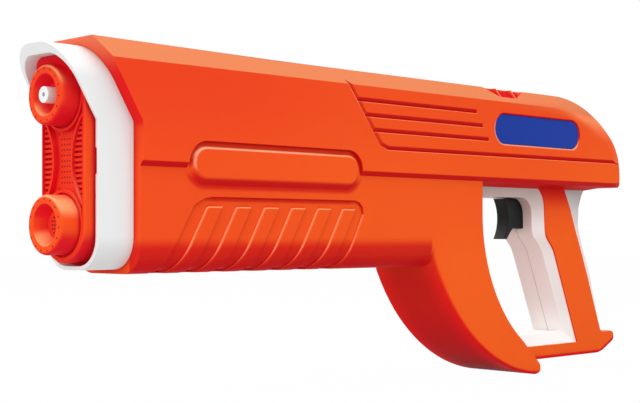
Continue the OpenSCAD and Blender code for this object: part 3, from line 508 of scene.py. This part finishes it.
def edgeTree():
    # how strongly each edge is rounded: not at the shoulder, and as given for seam, side pad and ribs
    tree, given = newTree("edgeWeights", sharp=math.radians(28), fine=1.0, seam=1.0, pad=1.0, rib=1.0)
    turn = makeNode(tree, "GeometryNodeInputMeshEdgeAngle", None, 1)
    start = makeNode(tree, "GeometryNodeInputMeshEdgeVertices", None, 2)
    finish = makeNode(tree, "GeometryNodeInputMeshEdgeVertices", None, 3)
    x = (start.axis("X") + finish.axis("X")) * 0.5
    z = (start.axis("Z") + finish.axis("Z")) * 0.5
    wide = abs(start.axis("Y")).maths("MAXIMUM", abs(finish.axis("Y")))
    middle = wide < seamLine["half"]
    onPad = (capsule(x, z, sidePad) < 0.0) * (wide > sidePad["face"])
    onRib = (z < sideRibs["top"]) * (x > sideRibs["from"]) * (x < sideRibs["to"])
    onShoulder = (z > shoulder["low"]) * (z < shoulder["top"]) * (wide > shoulder["y"])
    usual = given["fine"] + onPad * (given["pad"] - given["fine"])
    usual = (usual + onRib * (given["rib"] - given["fine"])) * (1.0 - onShoulder)
    weight = (turn > given["sharp"]) * (middle * given["seam"] + (1.0 - middle) * usual)
    kind = {"data_type": "FLOAT", "domain": "EDGE"}
    stored = makeNode(tree, "GeometryNodeStoreNamedAttribute", kind, 0,
                      Geometry=given["Geometry"], Name="bevel_weight_edge", Value=weight)
    return endTree(tree, stored)


softShading = shadingTree()
edgeWeights = edgeTree()


softening = {"join": 0.02 * mm, "flat": math.radians(0.4), "faceWeight": 80}


def soften(piece, width, segments=3, **weights):
    # joins the loose triangles, clears flat faces and rounds the sharp edges
    weld = piece.modifiers.new("joinPoints", "WELD")
    weld.merge_threshold = softening["join"]
    if width:
        flat = piece.modifiers.new("clearFlats", "DECIMATE")
        flat.decimate_type = "DISSOLVE"
        flat.angle_limit = softening["flat"]
        useTree(piece, edgeWeights, **weights)
        edge = piece.modifiers.new("roundEdges", "BEVEL")
        edge.width = width * mm
        edge.segments = segments
        edge.limit_method = "WEIGHT"
        edge.use_clamp_overlap = False
        edge.miter_outer = "MITER_ARC"
    useTree(piece, softShading)
    even = piece.modifiers.new("evenNormals", "WEIGHTED_NORMAL")
    even.keep_sharp = True
    even.weight = softening["faceWeight"]


# widths in millimetres
edgeSizes = {"front_collar": 0.3, "nozzle_plate": 0, "jet_nozzle": 0.25, "trigger": 0.6,
             "filler_stopper": 0.4, "left_badge": 0.2, "right_badge": 0.2, "shell_screws": 0.2}
shellEdges = {"width": 1.3, "segments": 4, "fine": 0.27, "seam": 0.0, "pad": 1.0, "rib": 0.85}
gripEdges = {"width": 0.3, "fine": 0.0}
for name, width in edgeSizes.items():
    soften(nodes[name], width)
for side in ("left", "right"):
    soften(nodes[side + "_shell"], **shellEdges)
    soften(nodes[side + "_grip"], **gripEdges)
print("edges softened")


# a thin dark red disc in place of a dimple's shaded hollow: painted shade
def dimple(tree, size, depth):
    return makeNode(tree, "GeometryNodeMeshCylinder", {"fill_type": "NGON"}, 0,
                    Vertices=10, Radius=size, Depth=depth)


def faceForward(tree, points, given):
    # dark dots, painted shade in place of the dimples' hollows, on points of a flat pattern, turned to
    # look forward and set in place
    dots = makeNode(tree, "GeometryNodeInstanceOnPoints", None, 0, Points=points,
                    Instance=dimple(tree, given["size"], given["depth"]))
    solid = makeNode(tree, "GeometryNodeRealizeInstances", None, 0, Geometry=dots)
    turned = makeNode(tree, "GeometryNodeTransform", None, 0, Geometry=solid, Translation=given["place"],
                      Rotation=(0.0, -math.pi / 2, 0.0))
    return makeNode(tree, "GeometryNodeSetMaterial", None, 0, Geometry=turned, Material=given["finish"])


def dimpleRingTree():
    tree, given = newTree("dimpleRing", count=15, radius=0.0116, size=0.0004, depth=0.0001,
                          place=Vector(), finish=plain["dimpleShadeRed"])
    ring = makeNode(tree, "GeometryNodeMeshCircle", None, 0,
                    Vertices=given["count"], Radius=given["radius"])
    return endTree(tree, faceForward(tree, ring, given))


def dimpleFieldTree():
    # a grid of dots, cut to a round reach and kept clear of the side curves and the end rings
    tree, given = newTree("dimpleField", columns=7, rows=13, across=0.00195, up=0.00246, reach=0.1,
                          sideAt=0.0346, sideRound=0.0, endAt=0.02885, endRound=0.0,
                          size=0.0004, depth=0.0001, place=Vector(), finish=plain["dimpleShadeRed"])
    grid = makeNode(tree, "GeometryNodeMeshGrid", None, 0, Size_X=(given["rows"] - 1.0) * given["up"],
                    Size_Y=(given["columns"] - 1.0) * given["across"],
                    Vertices_X=given["rows"], Vertices_Y=given["columns"])
    spot = makeNode(tree, "GeometryNodeInputPosition")
    high = abs(spot.axis("X"))
    wide = abs(spot.axis("Y"))
    out = distance(high, wide) > given["reach"]
    out = out.maths("MAXIMUM", distance(high, given["sideAt"] - wide) < given["sideRound"])
    out = out.maths("MAXIMUM", distance(given["endAt"] - high, wide) < given["endRound"])
    kept = makeNode(tree, "GeometryNodeDeleteGeometry", {"domain": "POINT"}, 0,
                    Geometry=grid, Selection=out)
    return endTree(tree, faceForward(tree, kept, given))


def growPiece(name, tree, **values):
    # one tree on an empty mesh, turned into a plain mesh that rides on the body
    piece = bpy.data.objects.new(name, bpy.data.meshes.new(name))
    scene.collection.objects.link(piece)
    useTree(piece, tree, **values)
    shape = piece.evaluated_get(bpy.context.evaluated_depsgraph_get())
    mesh = bpy.data.meshes.new_from_object(shape)
    piece.modifiers.clear()
    piece.data = mesh
    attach(piece, "body")


dimpleRing = dimpleRingTree()
dimpleField = dimpleFieldTree()
midHeight = (body["lowNozzle"] + body["highNozzle"]) / 2
rimDimples = {"count": 15, "radius": 11.6 * mm, "size": 0.42 * mm}
mouthDimples = {"columns": 5, "rows": 5, "across": 1.55 * mm, "up": 1.7 * mm, "reach": 3.9 * mm,
                "size": 0.42 * mm}
waistDimples = {"columns": 7, "rows": 13, "across": 2.1 * mm, "up": 2.45 * mm, "sideRound": 30.2 * mm,
                "endRound": 17.4 * mm, "size": 0.42 * mm}
for label in ("low", "high"):
    rim = Vector((body["rimFace"], 0, body[label + "Nozzle"]))
    growPiece(label + "RimDimples", dimpleRing, place=rim, **rimDimples)
mouth = Vector((body["mouthFloor"], 0, body["lowNozzle"]))
growPiece("mouthDimples", dimpleField, place=mouth, **mouthDimples)
waist = Vector((body["fieldFloor"], 0, midHeight))
growPiece("waistDimples", dimpleField, place=waist, **waistDimples)
print("dimples grown")

viewSet = {"eye": (-0.53049, -0.4950, 0.0855), "ahead": (0.70304, 0.71115, 0.0),
           "lens": 73.125, "sensor": 36.0, "near": 0.01, "risePixels": 32.5, "pictureWidth": 640}


def aimed(place, ahead):
    # a matrix that stands at a place and looks along a direction
    return Matrix.Translation(place) @ ahead.to_track_quat("-Z", "Y").to_matrix().to_4x4()


def placeCamera(spec):
    data = bpy.data.cameras.new("photoCamera")
    data.sensor_width = spec["sensor"]
    data.sensor_fit = "HORIZONTAL"
    data.lens = spec["lens"]
    data.shift_y = spec["risePixels"] / spec["pictureWidth"]
    data.clip_start = spec["near"]
    camera = bpy.data.objects.new("photoCamera", data)
    scene.collection.objects.link(camera)
    camera.matrix_world = aimed(spec["eye"], Vector(spec["ahead"]).normalized())
    scene.camera = camera


placeCamera(viewSet)


def seenDirectly(tree):
    # 1 for rays that see the backdrop itself, also through glass or in a reflection
    path = tree.nodes.new("ShaderNodeLightPath")
    seen = Sock(tree, path.outputs["Is Camera Ray"])
    seen = seen.maths("MAXIMUM", Sock(tree, path.outputs["Is Glossy Ray"]))
    return seen.maths("MAXIMUM", Sock(tree, path.outputs["Is Transmission Ray"]))


studio = {"skyStrength": 0.5, "floorSize": 8.0, "floorColour": (0.55, 0.55, 0.55), "floorGlow": 0.985,
          "speckle": 60.0, "speckleDetail": 3.0, "speckleGain": 1.03}


def buildStudio(spec):
    world = bpy.data.worlds.new("studioWorld")
    scene.world = world
    world.use_nodes = True
    tree = world.node_tree
    sky = tree.nodes["Background"]
    sky.inputs["Color"].default_value = (1, 1, 1, 1)
    strength = seenDirectly(tree) * (1 - spec["skyStrength"]) + spec["skyStrength"]
    tree.links.new(strength.socket, sky.inputs["Strength"])

    material, tree, shader = newMaterial("paleFloor", Roughness=0.9, Specular_IOR_Level=0.1)
    speckle = noise(tree, objectPoint(tree), spec["speckle"], spec["speckleDetail"])
    lighter = tuple(part * spec["speckleGain"] for part in spec["floorColour"])
    feed(tree, shader, "Base Color", speckle.blend(spec["floorColour"], lighter))
    glow = tree.nodes.new("ShaderNodeEmission")
    glow.inputs["Color"].default_value = (1, 1, 1, 1)
    mixed = tree.nodes.new("ShaderNodeMixShader")
    tree.links.new((seenDirectly(tree) * spec["floorGlow"]).socket, mixed.inputs[0])
    tree.links.new(shader.outputs[0], mixed.inputs[1])
    tree.links.new(glow.outputs[0], mixed.inputs[2])
    tree.links.new(mixed.outputs[0], tree.nodes["Material Output"].inputs["Surface"])

    mesh = bpy.data.meshes.new("floor")
    half = spec["floorSize"] / 2
    corners = [(-half, -half, 0), (half, -half, 0), (half, half, 0), (-half, half, 0)]
    mesh.from_pydata(corners, [], [(0, 1, 2, 3)])
    mesh.materials.append(material)
    floor = bpy.data.objects.new("floor", mesh)
    scene.collection.objects.link(floor)


buildStudio(studio)

lamps = {
    "topLight": {"at": (-0.05, -0.25, 1.1), "to": (0.0, 0.0, 0.1), "size": (1.4, 1.0), "power": 8.0},
    "sideLight": {"at": (-0.15, -1.2, 0.75), "to": (0.0, 0.0, 0.09), "size": (1.2, 0.8), "power": 5.2},
    "farLight": {"at": (-0.25, 0.85, 0.85), "to": (0.12, 0.0, 0.05), "size": (1.2, 0.8), "power": 9.0},
    "frontLight": {"at": (-1.2, -0.3, 0.35), "to": (-0.1, 0.0, 0.1), "size": (0.8, 0.8), "power": 5.2},
}


def hangLamps(specs):
    for name, spec in specs.items():
        data = bpy.data.lights.new(name, "AREA")
        data.shape = "RECTANGLE"
        data.size, data.size_y = spec["size"]
        data.energy = spec["power"]
        lamp = bpy.data.objects.new(name, data)
        scene.collection.objects.link(lamp)
        lamp.matrix_world = aimed(spec["at"], Vector(spec["to"]) - Vector(spec["at"]))


hangLamps(lamps)
scene.view_settings.view_transform = "Standard"
print("camera, lamps and floor placed")
